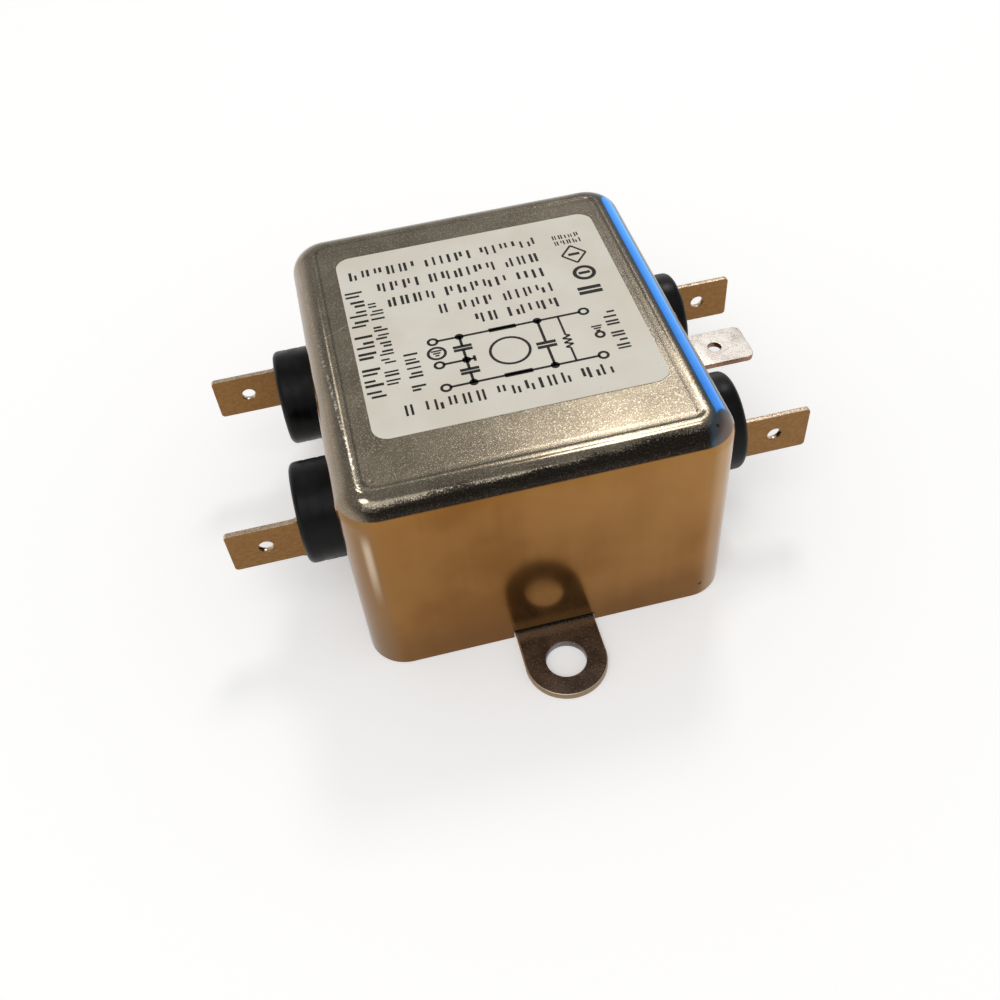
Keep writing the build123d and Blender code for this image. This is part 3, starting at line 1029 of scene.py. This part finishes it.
def ink_strokes(start, end, height):
    """A row of strokes from start to end, in ones and twos with gaps, like words."""
    run = Vector(end) - Vector(start)
    ahead = run.normalized()
    across = Vector((-ahead.y, ahead.x))
    travelled = 0.0
    left_in_group = random.randint(*group_sizes)
    while travelled < run.length:
        for _ in range(random.choice(strokes_together)):
            tall = height * random.choice(stroke_heights)
            lift = random.choice((0, height - tall)) - height / 2
            foot = Vector(start) + ahead * travelled + across * lift
            ink_line(foot, foot + across * tall, height * random.choice(stroke_weights))
            travelled += height * stroke_pitch
        travelled += height * letter_gap
        left_in_group -= 1
        if left_in_group == 0:
            travelled += height * group_gap
            left_in_group = random.randint(*group_sizes)


random.seed(11)
for y, start, end in level_rows:
    ink_strokes((end, y), (start, y), level_row_height)
for x, start, end, height in upright_rows:
    ink_strokes((x, start), (x, end), height)
for gap in (-bars_gap_half, bars_gap_half):
    ink_bar(bars_middle[0], bars_middle[1] + gap, *bar_size)
ink_ring(*ring_middle, ring_radius, bold_weight)
ink_bar(*ring_middle, *mark_bar)
middle_x, middle_y = diamond_middle
diamond = [
    (middle_x, middle_y + diamond_half_height),
    (middle_x + diamond_half_width, middle_y),
    (middle_x, middle_y - diamond_half_height),
    (middle_x - diamond_half_width, middle_y),
]
for start, end in zip(diamond, diamond[1:] + diamond[:1]):
    ink_line(start, end, diamond_weight)
ink_bar(*diamond_middle, *mark_bar)
for y in small_rows:
    ink_strokes((small_row_ends[0], y), (small_row_ends[1], y), small_row_height)
for shape in ink_shapes:
    shape.select_set(True)
bpy.context.view_layer.objects.active = ink_shapes[0]
bpy.ops.object.join()
ink_print = settle("label_print")
pick(ink_print, "FACE", lambda centre, normal: normal.z < 0)
bpy.ops.mesh.flip_normals()
modify(ink_print, "SOLIDIFY", thickness=label_print_depth, offset=1)
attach(ink_print, "root")
ink, ink_shader = new_finish("label_ink", metallic=0.0, roughness=0.5)
ink_shader.inputs["Specular IOR Level"].default_value = 0.2
ink_cover = grain(ink, 0.25 * mm, detail=2)
ink_colour = mottled(ink, ink_cover, (22, 21, 20), (52, 50, 47), low=0.35, high=0.75)
join(ink, ink_colour, ink_shader.inputs["Base Color"])
rough_up(ink, ink_shader, ink_cover, depth=0.005 * mm, strength=0.3)
dress(ink_print, ink)

# Floor: a plain pale sheet of paper under the filter, far wider than the picture.
# It glows a little in the camera's view and in the metal, more so farther out.
floor_width = 3.0
floor_level = -0.02 * mm
floor_white = 0.93
bpy.ops.object.select_all(action="DESELECT")
bpy.ops.mesh.primitive_plane_add(size=floor_width, location=(0, 0, floor_level))
floor = settle("floor")
paper, paper_shader = new_finish("pale_paper", metallic=0.0, roughness=0.9)
paper_shader.inputs["Base Color"].default_value = (floor_white, floor_white, floor_white, 1)
paper_shader.inputs["Specular IOR Level"].default_value = 0.0
paper_shader.inputs["Emission Color"].default_value = (1, 1, 1, 1)
ray = add(paper, "LightPath", {})
shown = work(paper, "MAXIMUM", ray.outputs["Is Camera Ray"], ray.outputs["Is Glossy Ray"])
shown = work(paper, "MAXIMUM", shown, ray.outputs["Is Transmission Ray"])
from_object = add(paper, "VectorMath", {0: place(paper)}, operation="LENGTH").outputs["Value"]
glow = rise(paper, from_object, 0.25, 0.9, start=0.31, end=0.46)
join(paper, both(paper, shown, glow), paper_shader.inputs["Emission Strength"])
dress(floor, paper)

# Light: a pale room all round, a wide soft lamp over the front and a small one at the rear.
# Five more lamps light the can alone, as the bright things that its plating mirrors.
# The blue one is a bar close beside the can's top edge, on the line side.
lamp_distance = 0.7
lamp_aim = (0, 0, 15 * mm)
white = (1, 1, 1)
warm_white = (1, 0.97, 0.92)
screen_blue = (0.0, 0.31, 1.0)
screen_distance = 46.5 * mm
screen_aim = (0, 32 * mm, 36.8 * mm)
studio = bpy.data.worlds.new("studio")
bpy.context.scene.world = studio
studio.use_nodes = True
sky_height = parts_of(studio, add(studio, "TexCoord", {}).outputs["Generated"])[2]
room_light = rise(studio, sky_height, 0.1, 0.55, start=0.88, end=0.45)
seen_directly = add(studio, "LightPath", {}).outputs["Is Camera Ray"]
room_light = work(studio, "MAXIMUM", room_light, seen_directly)
join(studio, room_light, studio.node_tree.nodes["Background"].inputs["Strength"])
studio.node_tree.nodes["Background"].inputs["Color"].default_value = (1, 1, 1, 1)


def lamp(
    name, azimuth, elevation, width, height, power,
    colour=warm_white, distance=lamp_distance, aim=lamp_aim,
):
    """A rectangular lamp that faces its aim; azimuth 0 is at the rear, 90 at the line side."""
    light = bpy.data.lights.new(name, "AREA")
    light.shape = "RECTANGLE"
    light.size = width
    light.size_y = height
    light.energy = power
    light.color = colour
    holder = bpy.data.objects.new(name, light)
    bpy.context.collection.objects.link(holder)
    towards = Vector((
        sin(radians(azimuth)) * cos(radians(elevation)),
        cos(radians(azimuth)) * cos(radians(elevation)),
        sin(radians(elevation)),
    ))
    facing_aim = towards.to_track_quat("Z", "Y").to_matrix().to_4x4()
    holder.matrix_world = Matrix.Translation(Vector(aim) + towards * distance) @ facing_aim
    return holder


lamp("key", azimuth=-150, elevation=58, width=0.5, height=0.5, power=1.0, colour=white)
lamp("window", azimuth=24, elevation=52, width=0.14, height=0.15, power=0.7)
glints = [
    lamp("front_glint", azimuth=37, elevation=66, width=0.1, height=0.12, power=0.4),
    lamp("tall_strip", azimuth=-17, elevation=45, width=0.035, height=0.2, power=0.08),
    lamp("ceiling", azimuth=-95, elevation=65, width=0.16, height=0.16, power=0.6),
    lamp("corner_glint", azimuth=-28, elevation=55, width=0.06, height=0.06, power=0.14),
    lamp(
        "cool_screen", azimuth=90, elevation=0, width=70 * mm, height=30.5 * mm, power=0.03,
        colour=screen_blue, distance=screen_distance, aim=screen_aim,
    ),
]
can_alone = bpy.data.collections.new("can_alone")
can_alone.objects.link(can)
for holder in glints:
    holder.light_linking.receiver_collection = can_alone
    holder.visible_camera = False

# Camera: close above the front, towards the load side, and a little turned.
# Its place and its lens are fitted to the outline of the can in the photograph.
camera_place = Vector((-17.048, -101.091, 112.109)) * mm
camera_azimuth = radians(-8.891)
camera_elevation = radians(48.535)
camera_roll = radians(-5.84)
sensor_width = 36
focal_share = 1.0602
nearest_seen = 5 * mm
camera_data = bpy.data.cameras.new("camera")
camera_data.sensor_width = sensor_width
camera_data.lens = focal_share * sensor_width
camera_data.clip_start = nearest_seen
camera = bpy.data.objects.new("camera", camera_data)
bpy.context.collection.objects.link(camera)
back = Vector((
    sin(camera_azimuth) * cos(camera_elevation),
    -cos(camera_azimuth) * cos(camera_elevation),
    sin(camera_elevation),
))
right = Vector((cos(camera_azimuth), sin(camera_azimuth), 0))
up = back.cross(right)
level = Matrix((right, up, back)).transposed()
turn = Matrix.Rotation(camera_roll, 3, "Z")
camera.matrix_world = Matrix.Translation(camera_place) @ (level @ turn).to_4x4()
bpy.context.scene.camera = camera
bpy.context.scene.view_settings.view_transform = "Standard"
